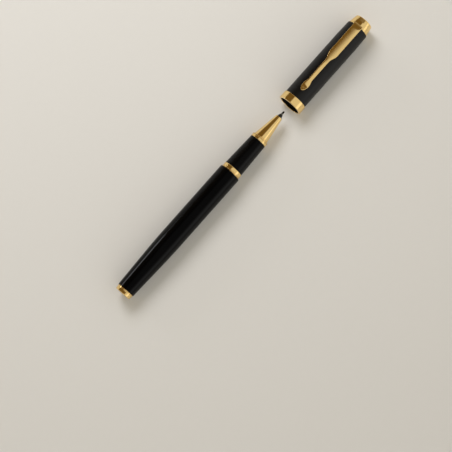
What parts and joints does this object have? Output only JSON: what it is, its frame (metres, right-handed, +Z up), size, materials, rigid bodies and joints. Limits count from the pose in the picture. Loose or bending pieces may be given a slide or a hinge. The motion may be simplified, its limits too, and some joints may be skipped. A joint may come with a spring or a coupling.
{
  "type": "rollerball pen",
  "caption": "Capped rollerball pen with lacquered barrel and cap, plated trim, spring clip, unscrewing barrel and sprung refill.",
  "frame": {"origin": "centre of the tail's flat end, on the pen's axis", "axes": "+X along the pen from the tail to the point, +Z up on the clip's side, +Y to the left of someone looking along +X"},
  "size_m": [0.1835, 0.0132, 0.0146],
  "materials": {
    "brass_turned": "machined",
    "seal_rubber": "moulded",
    "grip_plastic": "smooth, slightly glossy",
    "gold_plate": "polished gold plating",
    "barrel_lacquer": "gloss lacquer",
    "cap_lacquer": "satin lacquer",
    "inner_plastic": "moulded",
    "spring_steel": "drawn wire",
    "refill_metal": "drawn tube",
    "refill_plastic": "moulded",
    "ink_fibre": "bonded fibre soaked in ink",
    "point_steel": "turned stainless steel",
    "carbide": "polished"
  },
  "bodies": {
    "section": {"section_core": "brass_turned", "seal_ring": "seal_rubber", "section_grip": "grip_plastic", "nose_ring": "gold_plate", "nose_cone": "gold_plate", "joint_ring": "gold_plate"},
    "barrel": {"barrel_shell": "barrel_lacquer", "barrel_lining": "inner_plastic", "barrel_thread_bush": "brass_turned", "tail_ring": "gold_plate", "tail_plug": "grip_plastic", "refill_spring": "spring_steel"},
    "refill": {"refill_tube": "refill_metal", "refill_rear_plug": "refill_plastic", "ink_reservoir": "ink_fibre", "refill_collar": "refill_plastic", "ink_feed": "ink_fibre", "point_housing": "point_steel"},
    "ball": {"writing_ball": "carbide"},
    "cap": {"cap_shell": "cap_lacquer", "cap_mouth_band": "gold_plate", "cap_liner": "inner_plastic", "crown_nut": "inner_plastic", "crown_screw": "spring_steel", "cap_crown": "gold_plate", "clip_collar": "gold_plate"},
    "clip": {"clip_blade": "gold_plate"}
  },
  "joints": [
    {"name": "cap_pull", "type": "slide", "parent": "section", "child": "cap", "axis": [1, 0, 0], "range_m": [-0.0453, 0]},
    {"name": "clip_flex", "type": "hinge", "parent": "cap", "child": "clip", "pos_m": [0.1784, 0, 0.0073], "axis": [0, 1, 0], "range_deg": [0, 4], "stiffness_Nm_per_rad": 5, "springref_deg": -1.15},
    {"name": "barrel_draw_off", "type": "slide", "parent": "section", "child": "barrel", "axis": [1, 0, 0], "range_m": [-0.085, 0]},
    {"name": "refill_give", "type": "slide", "parent": "section", "child": "refill", "axis": [1, 0, 0], "range_m": [-0.0015, 0], "stiffness_N_per_m": 500, "springref_m": 0.001, "deforming": ["refill_spring"]},
    {"name": "ball_roll", "type": "hinge", "parent": "refill", "child": "ball", "pos_m": [0.12165, 0, 0], "axis": [0, 1, 0], "continuous": true}
  ]
}
